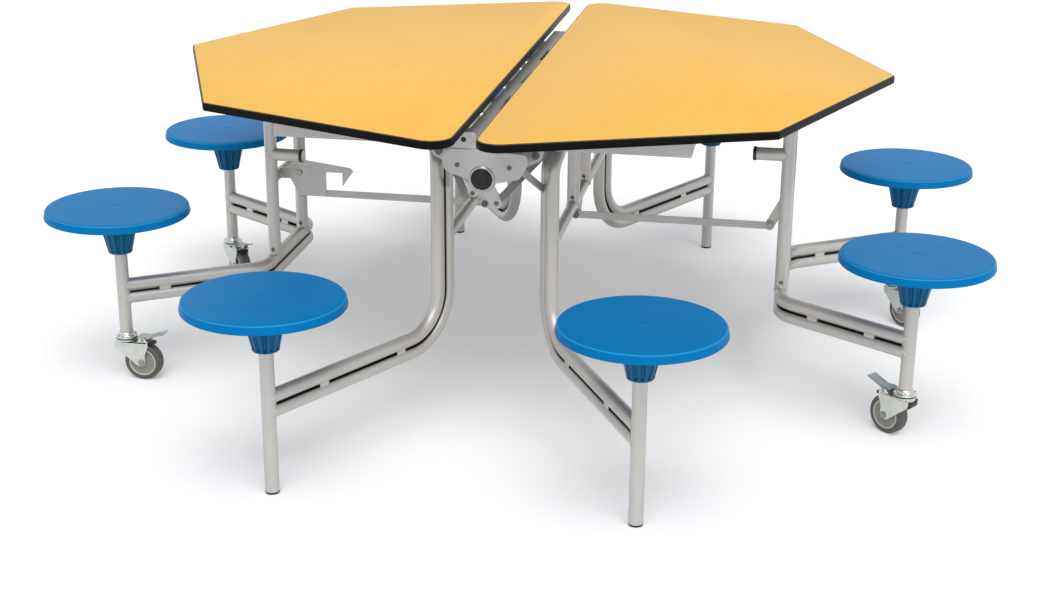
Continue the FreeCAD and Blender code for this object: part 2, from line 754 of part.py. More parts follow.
def hook():
    """Latch hook: a flat plate with a hooked nose that swings up on its pivot bolt."""
    low_y = -hook_y - hook_thickness / 2
    high_y = -hook_y + hook_thickness / 2
    back_x = hook_pivot_x + hook_tail
    nose_x = hook_pivot_x - hook_nose_reach
    mouth_x = hook_pivot_x - hook_mouth_start
    top_z = hook_pivot_z + hook_top_rise
    nose_z = hook_pivot_z + hook_nose_rise
    mouth_z = hook_pivot_z + hook_mouth_rise
    low_z = hook_pivot_z - hook_low_drop
    outline = [
        (back_x, top_z - hook_shoulder),
        (hook_pivot_x - hook_shoulder, top_z),
        (nose_x + hook_nose_blunt, nose_z),
        (nose_x, nose_z - hook_nose_blunt),
        (hook_pivot_x - hook_mouth_end, hook_pivot_z - hook_point_drop),
        (hook_pivot_x - hook_mouth_end, mouth_z),
        (mouth_x, mouth_z),
        (mouth_x, low_z + hook_nose_blunt),
        (mouth_x + hook_nose_blunt / 2, low_z),
        (hook_pivot_x, low_z),
        (back_x, hook_pivot_z - hook_top_rise),
    ]
    blade = plate(outline, low_y, high_y)
    return mirror_x(blade.cut(pin_y(hook_pivot_x, hook_pivot_z, pivot_bolt_radius + turning_clearance,
                                    low_y, high_y)))


def buffer_cap(side):
    """Black plug on the end of the buffer stub."""
    tip = Vector(leg_x - buffer_reach, -leg_y, half_pivot_z - buffer_drops[side])
    mouth = tip.add(Vector(buffer_cap_length, 0, 0))
    cap = rod(tip, mouth, frame_tube_radius + buffer_cap_wall)
    bore = rod(tip.add(Vector(buffer_cap_wall, 0, 0)), mouth, frame_tube_radius)
    return on_side(cap.cut(bore), side)


def outer_bolts(side):
    """Bolts of the outer hinges, of the link bar and, on the left, of the latch hook."""
    reach = hinge_barrel_half_length + cheek_gap + cheek_thickness
    bolts = [on_side(piece, side) for piece in
             both_ends(bolt(outer_pivot_x, half_pivot_z, -leg_y - reach, -leg_y + reach))]
    bolts.append(turned_to(bolt(far_link_x, link_pivot_z, link_face_y, lug_high_y), side))
    if side == "left":
        bolts.append(mirror_x(bolt(hook_pivot_x, hook_pivot_z, -hook_y - hook_thickness / 2 - cheek_gap / 2,
                                   bracket_high_y)))
    return bolts


def seat_disc():
    """Moulded round seat: a flat top with a rounded rim that is widest near its lower edge."""
    radius = seat_diameter / 2
    profile = [
        Vector(0, 0, seat_low_z),
        Vector(radius - seat_foot_bevel, 0, seat_low_z),
        Vector(radius, 0, seat_low_z + seat_foot_bevel),
        Vector(radius - seat_shoulder_inset, 0, seat_height - seat_shoulder_drop),
        Vector(radius - seat_top_inset, 0, seat_height),
        Vector(0, 0, seat_height),
    ]
    section = Part.Face(Part.makePolygon(profile + profile[:1]))
    return section.revolve(Vector(0, 0, 0), Vector(0, 0, 1), 360)


def fluted_ring(radius, z):
    """Corners of one level of the hub's outline: flat ribs with a narrower groove between each two."""
    corners = []
    for rib in range(hub_flutes):
        for share, reach in ((-0.3, 1.0), (0.3, 1.0), (0.4, hub_groove_share), (0.6, hub_groove_share)):
            angle = 2 * math.pi * (rib + share) / hub_flutes
            corners.append(Vector(radius * reach * math.cos(angle), radius * reach * math.sin(angle), z))
    return corners


def seat_hub():
    """Fluted, tapered hub under a seat, with the blind bore that turns on the post."""
    foot = fluted_ring(hub_foot_radius, hub_low_z)
    head = fluted_ring(hub_top_radius, seat_low_z)
    outlines = [foot, head]
    for index, corner in enumerate(foot):
        outlines.append([corner, foot[index - 1], head[index - 1], head[index]])
    faces = [Part.Face(Part.makePolygon(outline + outline[:1])) for outline in outlines]
    hub = Part.makeSolid(Part.makeShell(faces))
    bore = Part.makeCylinder(frame_tube_radius + turning_clearance, hub_bore_depth, Vector(0, 0, hub_low_z))
    return hub.cut(bore)


def placed(shape, position, turn=0):
    """A copy of a piece drawn about the origin, turned about Z and moved to its post."""
    copy = shape.copy()
    copy.rotate(Vector(0, 0, 0), Vector(0, 0, 1), turn)
    copy.translate(position)
    return copy


def caster_mount():
    """Bearing race with its king pin, fixed in the foot of a seat post."""
    race = Part.makeCylinder(race_radius, race_top_z - race_low_z, Vector(0, 0, race_low_z))
    stem = Part.makeCylinder(stem_radius, post_foot_z - race_top_z, Vector(0, 0, race_top_z))
    crown_low_z = fork_crown_z - fork_crown_thickness
    pin = Part.makeCylinder(king_pin_radius, race_low_z - crown_low_z, Vector(0, 0, crown_low_z))
    return joined([race, stem, pin])


def caster_fork():
    """Pressed fork: crown plate, two tapered legs with the axle, and the pedal's pin."""
    crown_low_z = fork_crown_z - fork_crown_thickness
    crown = box(Vector(-fork_back_x, -fork_half_width, crown_low_z),
                Vector(fork_front_x, fork_half_width, fork_crown_z))
    outline = [
        (-fork_back_x, fork_crown_z),
        (-fork_back_x, fork_crown_z - fork_back_depth),
        (caster_trail - fork_foot_half_width, wheel_radius - fork_foot_drop),
        (caster_trail + fork_foot_half_width, wheel_radius - fork_foot_drop),
        (caster_trail + fork_foot_half_width, wheel_radius + fork_knee_rise),
        (fork_front_x, fork_crown_z - fork_front_depth),
        (fork_front_x, fork_crown_z),
        (pedal_pin_x + fork_horn_half_width, pedal_pin_z + fork_horn_rise),
        (pedal_pin_x - fork_horn_half_width, pedal_pin_z + fork_horn_rise),
        (pedal_pin_x - fork_horn_run, fork_crown_z),
    ]
    legs = [plate(outline, fork_half_width - fork_wall, fork_half_width),
            plate(outline, -fork_half_width, -fork_half_width + fork_wall)]
    axle = pin_y(caster_trail, wheel_radius, axle_radius, -fork_half_width - axle_nut_height,
                 fork_half_width + axle_nut_height)
    pedal_pin = pin_y(pedal_pin_x, pedal_pin_z, pedal_pin_radius, -fork_half_width, fork_half_width)
    fork = joined([crown] + legs + [axle, pedal_pin])
    return fork.cut(Part.makeCylinder(king_pin_radius + turning_clearance, fork_crown_thickness,
                                      Vector(0, 0, crown_low_z)))


def caster_wheel():
    """Wheel with its tyre moulded on: a recessed face and a hub that turns on the axle."""
    half_width = wheel_width / 2
    bore_radius = axle_radius + turning_clearance
    half_profile = [
        (bore_radius, wheel_hub_half_length),
        (wheel_hub_radius, wheel_hub_half_length),
        (wheel_hub_radius, half_width - wheel_rim_recess),
        (wheel_rim_radius, half_width - wheel_rim_recess),
        (wheel_rim_radius, half_width),
        (wheel_radius, half_width),
    ]
    corners = [Vector(radius, y, 0) for radius, y in half_profile]
    corners += [Vector(radius, -y, 0) for radius, y in reversed(half_profile)]
    section = Part.Face(Part.makePolygon(corners + corners[:1]))
    wheel = section.revolve(Vector(0, 0, 0), Vector(0, 1, 0), 360)
    wheel.translate(Vector(caster_trail, 0, wheel_radius))
    return wheel


def brake_pedal():
    """Pressed pedal above the wheel, with two flanges that turn on the fork's pin."""
    low_z = pedal_pin_z + pedal_pin_radius + cheek_gap
    tread = plate([
        (pedal_start_x, low_z),
        (pedal_bend_x, low_z),
        (pedal_end_x, low_z + pedal_rise),
        (pedal_end_x - pedal_thickness / 2, low_z + pedal_rise + pedal_thickness),
        (pedal_bend_x - pedal_thickness / 2, low_z + pedal_thickness),
        (pedal_start_x, low_z + pedal_thickness),
    ], -pedal_half_width, pedal_half_width)
    pieces = [tread]
    for low_y in (-pedal_half_width, pedal_half_width - pedal_thickness):
        pieces.append(plate([
            (pedal_pin_x - pedal_flange_depth, low_z),
            (pedal_pin_x - pedal_flange_depth / 2, pedal_pin_z - pedal_flange_depth / 2),
            (pedal_pin_x + pedal_flange_depth / 2, pedal_pin_z - pedal_flange_depth / 2),
            (pedal_bend_x, low_z),
        ], low_y, low_y + pedal_thickness))
    bore = pin_y(pedal_pin_x, pedal_pin_z, pedal_pin_radius + turning_clearance,
                 -pedal_half_width, pedal_half_width)
    return joined(pieces).cut(bore)


os.makedirs("parts", exist_ok=True)

frame_shapes = {side: inner_frame(side) for side in SIDES}
both_frames = Part.makeCompound(list(frame_shapes.values()))
beam = centre_beam()
wing = wing_plate()
bridges = bridge_plates(both_frames)
for side in SIDES:
    save("inner_frame_" + side, frame_shapes[side])
save("foot_caps", foot_caps())
save("centre_beam", beam)
save("beam_plugs", beam_plugs())
save("wing_plates", [wing, half_turn(wing)])
save("bridge_plates", bridges)
save("gap_cover", gap_cover())
save("stays", stays(both_frames, beam, Part.makeCompound(bridges)))
save("centre_bolts", centre_bolts())

for side in SIDES:
    save("tabletop_" + side, tabletop(side))
    save("edge_band_" + side, edge_band(side))
    save("under_frame_" + side, under_frame(side))
    save("hinge_brackets_" + side, hinge_brackets(side))
    save("link_bar_" + side, link_bar(side))
    save("outer_frame_" + side, outer_frame(side))
    save("buffer_cap_" + side, buffer_cap(side))
    save("outer_bolts_" + side, outer_bolts(side))
save("latch_hook", hook())

disc = seat_disc()
hub = seat_hub()
for side, x_sign in SIDES.items():
    for end, y_sign in ENDS.items():
        inner_place = Vector(x_sign * inner_post.x, -y_sign * inner_post.y, 0)
        outer_place = Vector(x_sign * outer_post.x, -y_sign * outer_post.y, 0)
        for kind, place in (("inner", inner_place), ("outer", outer_place)):
            name = "_".join((kind, side, end))
            save("seat_" + name, placed(disc, place))
            save("hub_" + name, placed(hub, place))

mount = caster_mount()
for side, x_sign in SIDES.items():
    mounts = []
    for end, y_sign in ENDS.items():
        place = Vector(x_sign * outer_post.x, -y_sign * outer_post.y, 0)
        corner = side + "_" + end
        turn = trail_angles[corner]
        mounts.append(placed(mount, place, turn))
        save("caster_fork_" + corner, placed(caster_fork(), place, turn))
        save("caster_wheel_" + corner, placed(caster_wheel(), place, turn))
        save("brake_pedal_" + corner, placed(brake_pedal(), place, turn))
    save("caster_mounts_" + side, mounts)
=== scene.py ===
# Folding octagonal dining table with eight attached swivel seats, dressed for rendering.
# Sizes are in metres: X runs across the fold, Y runs along the gap, and Z is up.
import math

import bmesh
import bpy
from mathutils import Matrix, Vector


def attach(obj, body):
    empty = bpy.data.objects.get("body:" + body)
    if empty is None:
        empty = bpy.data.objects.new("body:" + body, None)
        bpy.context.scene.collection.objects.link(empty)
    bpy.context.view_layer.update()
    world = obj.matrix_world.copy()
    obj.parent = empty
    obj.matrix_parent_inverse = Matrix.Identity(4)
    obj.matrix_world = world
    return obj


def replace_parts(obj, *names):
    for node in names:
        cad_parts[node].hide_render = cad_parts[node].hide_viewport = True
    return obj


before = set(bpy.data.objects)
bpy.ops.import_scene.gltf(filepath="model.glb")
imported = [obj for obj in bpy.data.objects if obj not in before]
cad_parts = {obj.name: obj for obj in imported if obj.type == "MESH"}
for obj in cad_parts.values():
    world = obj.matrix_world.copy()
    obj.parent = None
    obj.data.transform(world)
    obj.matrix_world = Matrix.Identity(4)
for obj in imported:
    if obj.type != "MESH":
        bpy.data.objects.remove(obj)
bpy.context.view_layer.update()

# Camera: a standing visitor's eye in front of the table, a little to the right
# of its middle, with a moderately long lens.
eye = Vector((0.6813, -3.9222, 1.5640))
eye_yaw = -0.17852
eye_pitch = 0.34476
eye_roll = 0.00689
film_width = 36.0
lens_length = 58.71
forward = Vector((math.sin(eye_yaw) * math.cos(eye_pitch),
                  math.cos(eye_yaw) * math.cos(eye_pitch),
                  -math.sin(eye_pitch)))
level = Vector((math.cos(eye_yaw), -math.sin(eye_yaw), 0))
upright = level.cross(forward)
eye_right = level * math.cos(eye_roll) + upright * math.sin(eye_roll)
eye_up = upright * math.cos(eye_roll) - level * math.sin(eye_roll)
eye_turn = Matrix((eye_right, eye_up, -forward)).transposed().to_4x4()
camera = bpy.data.objects.new("camera", bpy.data.cameras.new("camera"))
bpy.context.scene.collection.objects.link(camera)
camera.data.sensor_width = film_width
camera.data.lens = lens_length
camera.matrix_world = Matrix.Translation(eye) @ eye_turn
bpy.context.scene.camera = camera
bpy.context.scene.view_settings.view_transform = "Standard"

# Floor and light: a pale seamless floor under a white sky, with a broad lamp
# overhead and a weaker and broader one from the front right.
floor_size = 90
floor_glow = (0.24, 0.24, 0.24, 1)
sky_fill = (0.40, 0.40, 0.40, 1)
lamps = {
    "overhead": {"heading": (-0.11, 0.54, -1), "energy": 1.80, "spread": 48},
    "front_right": {"heading": (-0.40, 0.70, -0.80), "energy": 0.55, "spread": 60},
}


class Shade:
    """A socket of a material or a world; Python's arithmetic on it adds Math nodes."""

    def __init__(self, tree, socket=None):
        self.tree = tree
        self.socket = socket

    def node(self, kind, settings, inputs, output=0):
        """Adds a node: its settings first, a ramp's stops among them, then its sockets."""
        made = self.tree.nodes.new("ShaderNode" + kind)
        for name, value in settings.items():
            if name == "stops":
                stops = made.color_ramp.elements
                for index, (place, colour) in enumerate(value):
                    stop = stops[index] if index < 2 else stops.new(place)
                    stop.position = place
                    stop.color = colour
            else:
                setattr(made, name, value)
        for name, value in inputs.items():
            if isinstance(value, Shade):
                self.tree.links.new(value.socket, made.inputs[name])
            else:
                made.inputs[name].default_value = value
        return Shade(self.tree, made.outputs[output])

    def math(self, operation, other=0):
        """A Math node on this value and another."""
        return self.node("Math", {"operation": operation}, {0: self, 1: other})

    def __add__(self, other):
        return self.math("ADD", other)

    def __sub__(self, other):
        return self.math("SUBTRACT", other)

    def __rsub__(self, other):
        return self * -1 + other

    def __mul__(self, other):
        return self.math("MULTIPLY", other)

    def __abs__(self):
        return self.math("ABSOLUTE")

    __radd__ = __add__
    __rmul__ = __mul__

    def grain(self, scale, detail=2.0, stretch=(1, 1, 1)):
        """Soft random grain from 0 to 1, fixed to the piece."""
        place = self.node("TexCoord", {}, {}, "Object")
        place = self.node("Mapping", {}, {"Vector": place, "Scale": stretch})
        return self.node("TexNoise", {}, {"Vector": place, "Scale": scale, "Detail": detail})

    def spread(self, low, high):
        """This value from 0 to 1, spread from low to high."""
        return self * (high - low) + low

    def ramp(self, *stops):
        """A colour for this value from (value, colour) stops."""
        stops = [(place, (*colour, 1)) for place, colour in stops]
        return self.node("ValToRGB", {"stops": stops}, {"Fac": self})

    def mix(self, first, second):
        """A colour between two colours, by this value."""
        return self.node("Mix", {"data_type": "RGBA"}, {0: self, 6: first, 7: second}, 2)

    def bump(self, distance, strength):
        """A normal from this value as a height."""
        return self.node("Bump", {}, {"Height": self, "Distance": distance, "Strength": strength})

    def feed(self, **values):
        """Links varying values to the sockets of this material's shader."""
        shader = self.tree.nodes["Principled BSDF"]
        for socket, value in values.items():
            self.tree.links.new(value.socket, shader.inputs[socket.replace("_", " ")])


def new_finish(name, **constants):
    """A principled material with its constant sockets set, and a Shade to build on."""
    finish = bpy.data.materials.new(name)
    finish.use_nodes = True
    shader = finish.node_tree.nodes["Principled BSDF"]
    for socket, value in constants.items():
        shader.inputs[socket.replace("_", " ")].default_value = value
    return finish, Shade(finish.node_tree)


def in_view(shade):
    """1 where the eye, a shiny surface or a clear one looks, 0 where light is only gathered."""
    eye_ray, shine_ray, clear_ray = (
        shade.node("LightPath", {}, {}, f"Is {kind} Ray")
        for kind in ("Camera", "Glossy", "Transmission"))
    return eye_ray + shine_ray + clear_ray


floor_finish, shade = new_finish(
    "floor_paper", Roughness=1.0, Specular_IOR_Level=0.0, Emission_Strength=1.0)
shade.feed(
    Base_Color=shade.grain(1.5).mix((0.86, 0.86, 0.865, 1), (0.88, 0.88, 0.885, 1)),
    Emission_Color=in_view(shade).mix((0, 0, 0, 1), floor_glow))
bpy.ops.mesh.primitive_plane_add(size=floor_size)
floor = bpy.context.object
floor.name = "floor"
floor.data.materials.append(floor_finish)

world = bpy.data.worlds.new("studio")
bpy.context.scene.world = world
world.use_nodes = True
sky = in_view(Shade(world.node_tree)).mix(sky_fill, (1, 1, 1, 1))
world.node_tree.links.new(sky.socket, world.node_tree.nodes["Background"].inputs["Color"])
for name, lamp in lamps.items():
    light = bpy.data.lights.new(name, "SUN")
    light.energy = lamp["energy"]
    light.angle = math.radians(lamp["spread"])
    holder = bpy.data.objects.new(name, light)
    holder.rotation_euler = Vector(lamp["heading"]).to_track_quat("-Z", "Y").to_euler()
    bpy.context.scene.collection.objects.link(holder)

# Side frames of the centre unit: 30 mm steel tube in pairs, bent, joined with
# fillet welds and powder coated together in a silver with a fine sparkle; the
# groove between each inner frame's twin tubes is painted near-black as painted shade.
SIDES = {"left": -1, "right": 1}
tube = 0.015
rail_tube = 0.0125
half_pitch = 0.016
seat_circle = 0.984
half_eighth = math.radians(22.5)
inner_post = Vector((seat_circle * math.sin(half_eighth), -seat_circle * math.cos(half_eighth), 0))
inner_upright = Vector((0.120, -0.440, 0))
inner_arm_z = 0.196
inner_bend = 0.110
rail_z = 0.410
rail_end_y = 0.4275
rail_post_y = 0.094
arm_heading = (inner_upright - inner_post).normalized()
arm_length = (inner_upright - inner_post).length
groove_start = 0.018
sideways_most = 0.8
bead_radius = 0.0019
bead_ripple = 0.0004
bead_sides = [math.radians(60 * side) for side in range(6)]


def axes(shade, output):
    """X, Y and Z of the place or of the normal on the piece."""
    vector = shade.node("TexCoord", {}, {}, output)
    return [shade.node("SeparateXYZ", {}, {"Vector": vector}, axis) for axis in "XYZ"]


def groove_shade(distance):
    """Painted shade mask: 1 up to 2.6 mm from the middle of a groove, and 0 from 4.8 mm on."""
    return (distance * 100).ramp((0.26, (1, 1, 1)), (0.48, (0, 0, 0)))


def inner_groove_shade(shade):
    """Painted shade in the groove that runs along each inner arm, round its bend and up the
    upright.
    """
    x, y, z = axes(shade, "Object")
    normal_x, normal_y, _ = axes(shade, "Normal")
    along = (abs(x) - inner_post.x) * arm_heading.x - (abs(y) + inner_post.y) * arm_heading.y
    sideways = (normal_x * x.math("SIGN") * arm_heading.y
                + normal_y * y.math("SIGN") * arm_heading.x)
    past = along - (arm_length - inner_bend)
    below = (inner_arm_z + inner_bend) - z
    out, down = past.math("MAXIMUM"), below.math("MAXIMUM")
    from_bend = (out * out + down * down).math("SQRT") + past.math("MAXIMUM", below).math("MINIMUM")
    on_arm = along.math("GREATER_THAN", groove_start)
    in_groove = abs(sideways).math("LESS_THAN", sideways_most)
    return groove_shade(abs(from_bend - inner_bend)) * (on_arm * in_groove)


def silver_coat(name, painted_shade=None):
    """Silver powder coat; the optional mask marks where the groove between twin tubes is painted
    near-black as painted shade.
    """
    finish, shade = new_finish(name, Metallic=0.48, IOR=1.5)
    sparkle = shade.grain(2600, 3.0)
    coat = shade.grain(22, 3.0).spread(0.2, 0.8).mix((0.53, 0.51, 0.48, 1), (0.62, 0.60, 0.57, 1))
    if painted_shade:
        # Painted shade: the groove between the twin tubes is painted near-black.
        coat = painted_shade(shade).mix(coat, (0.012, 0.011, 0.010, 1))
    shade.feed(
        Base_Color=coat,
        Roughness=sparkle.spread(0.30, 0.46),
        Normal=sparkle.bump(0.00018, 0.3))
    return finish


class Shapes:
    """Points and faces of one piece while it is built."""

    def __init__(self):
        self.points = []
        self.faces = []

    def add(self, points, faces):
        start = len(self.points)
        self.points += [Vector(point) for point in points]
        self.faces += [tuple(start + index for index in face) for face in faces]
        return self

    def join(self, *others):
        for other in others:
            self.add(other.points, other.faces)
        return self

    def moved(self, matrix):
        return Shapes().add([matrix @ point for point in self.points], self.faces)

    def flipped(self, x=1, y=1):
        """The same shapes mirrored in X, in Y or in both."""
        return self.moved(Matrix.Diagonal((x, y, 1, 1)))


def skin(rings, closed=False):
    """Faces through rings of as many points each; the ends are capped, or joined if closed."""
    count = len(rings[0])
    points = [point for ring in rings for point in ring]
    faces = []
    for low in range(len(rings) if closed else len(rings) - 1):
        high = (low + 1) % len(rings)
        for side in range(count):
            beside = (side + 1) % count
            faces.append((low * count + side, low * count + beside,
                          high * count + beside, high * count + side))
    if not closed:
        faces.append(tuple(range(count)))
        faces.append(tuple((len(rings) - 1) * count + side for side in range(count)))
    return Shapes().add(points, faces)


def weld(centre, run, branch, run_radius, branch_radius, steps=36):
    """A rippled fillet weld where a branch tube leaves a tube that runs across it."""
    centre, run, branch = Vector(centre), Vector(run), Vector(branch).normalized()
    aside = run.cross(branch)
    path = []
    for step in range(steps):
        turn = 2 * math.pi * step / steps
        reach = math.sqrt(max(0, run_radius ** 2 - (branch_radius * math.sin(turn)) ** 2))
        radial = run * math.cos(turn) + aside * math.sin(turn)
        path.append(centre + radial * branch_radius + branch * reach)
    rings = []
    for step, point in enumerate(path):
        heading = (path[(step + 1) % steps] - path[step - 1]).normalized()
        outward = point - centre - branch * (point - centre).dot(branch)
        outward = (outward - heading * outward.dot(heading)).normalized()
        across = heading.cross(outward)
        ripple = math.sin(2.1 * step) + 0.5 * math.sin(5.3 * step)
        bead = bead_radius + bead_ripple * ripple
        rings.append([point + (outward * math.cos(turn) + across * math.sin(turn)) * bead
                      for turn in bead_sides])
    return skin(rings, closed=True)


def piece(name, shapes, finish, body, crease=38, edge=0.0):
    """Makes an object of the shapes, smooth between its creases, that rides on a body."""
    mesh = bpy.data.meshes.new(name)
    mesh.from_pydata(shapes.points, [], shapes.faces)
    work = bmesh.new()
    work.from_mesh(mesh)
    bmesh.ops.recalc_face_normals(work, faces=work.faces)
    work.to_mesh(mesh)
    work.free()
    mesh.polygons.foreach_set("use_smooth", [True] * len(mesh.polygons))
    mesh.set_sharp_from_angle(angle=math.radians(crease))
    mesh.materials.append(finish)
    made = bpy.data.objects.new(name, mesh)
    bpy.context.scene.collection.objects.link(made)
    if edge:
        bevel = made.modifiers.new("broken_edges", "BEVEL")
        bevel.width = edge
        bevel.segments = 3
        bevel.angle_limit = math.radians(40)
        bevel.harden_normals = True
    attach(made, body)
    return made


def dress(node, finish):
    """Gives a CAD node its finish."""
    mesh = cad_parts[node].data
    mesh.materials.clear()
    mesh.materials.append(finish)
    for polygon in mesh.polygons:
        polygon.material_index = 0


silver = silver_coat("silver_powder_coat")
inner_silver = silver_coat("silver_inner_frame_shaded_groove", inner_groove_shade)
near_welds = Shapes()
for lift in (-half_pitch, half_pitch):
    arm_end = (inner_post.x, inner_post.y, inner_arm_z + lift)
    near_welds.join(weld(arm_end, (0, 0, 1), arm_heading, tube, tube))
rail_end = (inner_upright.x, -rail_end_y, rail_z)
rail_post_top = (inner_upright.x, -rail_post_y, rail_z)
near_welds.join(weld(rail_end, (0, 0, 1), (0, 1, 0), tube, rail_tube),
                weld(rail_post_top, (0, 1, 0), (0, 0, 1), rail_tube, tube))
for side, x in SIDES.items():
    dress("inner_frame_" + side, inner_silver)
    welds = Shapes().join(near_welds.flipped(x), near_welds.flipped(x, -1))
    piece("inner_frame_welds_" + side, welds, silver, "centre_unit")

# Glides: black polyethylene buttons pushed into the feet of the four fixed posts,
# with a rounded wearing edge.
black, shade = new_finish("black_polyethylene", IOR=1.45, Specular_IOR_Level=0.4)
shade.feed(
    Base_Color=shade.grain(90).mix((0.004, 0.004, 0.005, 1), (0.011, 0.011, 0.012, 1)),
    Roughness=shade.grain(300).spread(0.24, 0.40),
    Normal=shade.grain(900).bump(0.0002, 0.25))


def turned(profile, sides=48, closed=False):
    """A form turned about Z from (z, radius) points; closed for a ring."""
    rings = []
    for z, radius in profile:
        ring = []
        for side in range(sides):
            turn = 2 * math.pi * side / sides
            ring.append(Vector((radius * math.cos(turn), radius * math.sin(turn), z)))
        rings.append(ring)
    return skin(rings, closed)


glide = turned([(0, 0.0122), (0.0005, 0.0138), (0.0016, 0.0150), (0.0042, 0.0154),
                (0.0050, 0.0150)])
glide = glide.moved(Matrix.Translation(inner_post))
glides = Shapes().join(*(glide.flipped(x, y) for x in (-1, 1) for y in (-1, 1)))
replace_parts(piece("glides", glides, black, "centre_unit"), "foot_caps")

# Centre beam: 43 mm tube along the gap with two hinge plates welded across it,
# and a glossy black dished plug pressed into each end.
beam_z = 0.604
beam_radius = 0.0215
beam_end = 0.5985
hinge_plate_faces = (-0.5330, -0.5270)


def facing_y(x, z, y=0.0):
    """The place of a form that is turned about Z and laid along Y at (x, z)."""
    return Matrix.Translation((x, y, z)) @ Matrix.Rotation(math.radians(-90), 4, "X")


dress("centre_beam", silver)
beam_welds = Shapes()
for y in hinge_plate_faces:
    beam_welds.join(weld((0, y, beam_z), (1, 0, 0), (0, 1, 0), 0, beam_radius))
beam_welds.join(beam_welds.flipped(y=-1))
piece("beam_welds", beam_welds, silver, "centre_unit")
plug = turned([(0.0030, 0.0010), (0.0029, 0.0080), (0.0022, 0.0130), (0.0008, 0.0160),
               (0.0001, 0.0176), (0.0002, 0.0196), (0.0012, 0.0214), (0.0030, 0.0223),
               (0.0060, 0.0225)])
plug = plug.moved(facing_y(0, beam_z, -beam_end))
plugs = Shapes().join(plug, plug.flipped(y=-1))
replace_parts(piece("beam_end_plugs", plugs, black, "centre_unit"), "beam_plugs")

# Wing plates: one steel pressing bolted on each end of the beam, with rolled
# edges, a raised collar round the plug, and a separate flap riveted behind it
# that stands up into the gap. Satin grey coat, lighter than the tubes.
plate_grey, shade = new_finish("satin_grey_coat", Metallic=0.45, IOR=1.5)
shade.feed(
    Base_Color=shade.grain(16, 3.0).mix((0.42, 0.41, 0.40, 1), (0.55, 0.54, 0.525, 1)),
    Roughness=shade.grain(700).spread(0.28, 0.46),
    Normal=shade.grain(1500, 3.0).bump(0.0002, 0.3))
wing_face = -0.5925
wing_thickness = 0.005
wing_outline = [
    (-0.0850, 0.6675, 0.024), (-0.0850, 0.6180, 0.026), (-0.0260, 0.6000, 0.012),
    (-0.0325, 0.5740, 0.011), (-0.0200, 0.5590, 0.011), (-0.0020, 0.5745, 0.008),
    (0.0255, 0.5385, 0.010), (0.0470, 0.5455, 0.011), (0.0250, 0.5945, 0.007),
    (0.0790, 0.6060, 0.014), (0.0985, 0.6400, 0.009), (0.0940, 0.6610, 0.010),
    (0.0000, 0.6665, 0.020)]
flap_face = wing_face + 0.0028
flap_thickness = 0.003
flap_top = 0.7020
flap_outline = [
    (-0.0720, 0.6500, 0.001), (-0.0120, 0.6500, 0.001), (-0.0120, flap_top, 0.009),
    (-0.0540, flap_top, 0.005), (-0.0720, 0.6840, 0.005)]
arc_steps = 8
rivet_x = -0.0390
rivet_z = 0.6860
rivet_hole = 0.0050
boss_x = -0.0225
boss_z = 0.6870


def rounded(corners, steps=arc_steps):
    """The points of a closed outline, with an arc at each (u, v, radius) corner."""
    outline = []
    for index, (u, v, radius) in enumerate(corners):
        corner = Vector((u, v))
        back = (Vector(corners[index - 1][:2]) - corner).normalized()
        ahead = (Vector(corners[(index + 1) % len(corners)][:2]) - corner).normalized()
        half = back.angle(ahead) / 2
        centre = corner + (back + ahead).normalized() * radius / math.sin(half)
        first = corner + back * radius / math.tan(half) - centre
        last = corner + ahead * radius / math.tan(half) - centre
        turn = math.atan2(last.y, last.x) - math.atan2(first.y, first.x)
        turn = math.remainder(turn, 2 * math.pi)
        for step in range(steps + 1):
            outline.append(centre + Matrix.Rotation(turn * step / steps, 2) @ first)
    return outline


def pressed(outline, low, high):
    """A plate in the XZ plane with this outline, from low to high in Y."""
    return skin([[Vector((u, y, v)) for u, v in outline] for y in (low, high)])


wing = pressed(rounded(wing_outline), wing_face, wing_face + wing_thickness)
wings = Shapes().join(wing, wing.flipped(-1, -1))
made = piece("wing_pressings", wings, plate_grey, "centre_unit",
             crease=30, edge=0.0019)
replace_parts(made, "wing_plates")

# The rivet's hole joins the top edge by a slit, which keeps the outline one loop.
slit = (rivet_x, flap_top)
hole = [(rivet_x + rivet_hole * math.sin(math.radians(30 * step)),
         rivet_z + rivet_hole * math.cos(math.radians(30 * step))) for step in range(13)]
flap_points = rounded(flap_outline)
top_corner_end = 3 * (arc_steps + 1)
flap_points[top_corner_end:top_corner_end] = [slit, *hole, slit]
flap = pressed(flap_points, flap_face, flap_face + flap_thickness)
boss = turned([(0, 0.0085), (0.0010, 0.0078), (0.0014, 0.0062), (0.0010, 0.0046),
               (0.0002, 0.0038)], 32)
boss_place = Matrix.Translation((boss_x, flap_face, boss_z)) @ Matrix.Rotation(math.pi / 2, 4, "X")
flap.join(boss.moved(boss_place))
flaps = Shapes().join(flap, flap.flipped(-1, -1))
piece("wing_flaps", flaps, plate_grey, "centre_unit")

push_rivet = turned([(0.0006, 0.0020), (0.0000, 0.0040), (0.0004, 0.0056), (0.0012, 0.0060)], 24)
push_rivet = push_rivet.moved(facing_y(rivet_x, rivet_z, flap_face - 0.0006))
push_rivets = Shapes().join(push_rivet, push_rivet.flipped(-1, -1))
piece("wing_push_rivets", push_rivets, black, "centre_unit")
collar = turned([(0, 0.0226), (0, 0.0272), (-0.0006, 0.0282), (-0.0016, 0.0278),
                 (-0.0034, 0.0252), (-0.0040, 0.0236), (-0.0036, 0.0228)], closed=True)
collar = collar.moved(facing_y(0, beam_z, wing_face))
collars = Shapes().join(collar, collar.flipped(y=-1))
piece("beam_collars", collars, plate_grey, "centre_unit")

# Bridge plates, long cover and stays: sheared and folded steel in the same grey
# coat, welded across the side frames, under the boards and out to the wings.
for node in ("bridge_plates", "gap_cover", "stays"):
    dress(node, plate_grey)

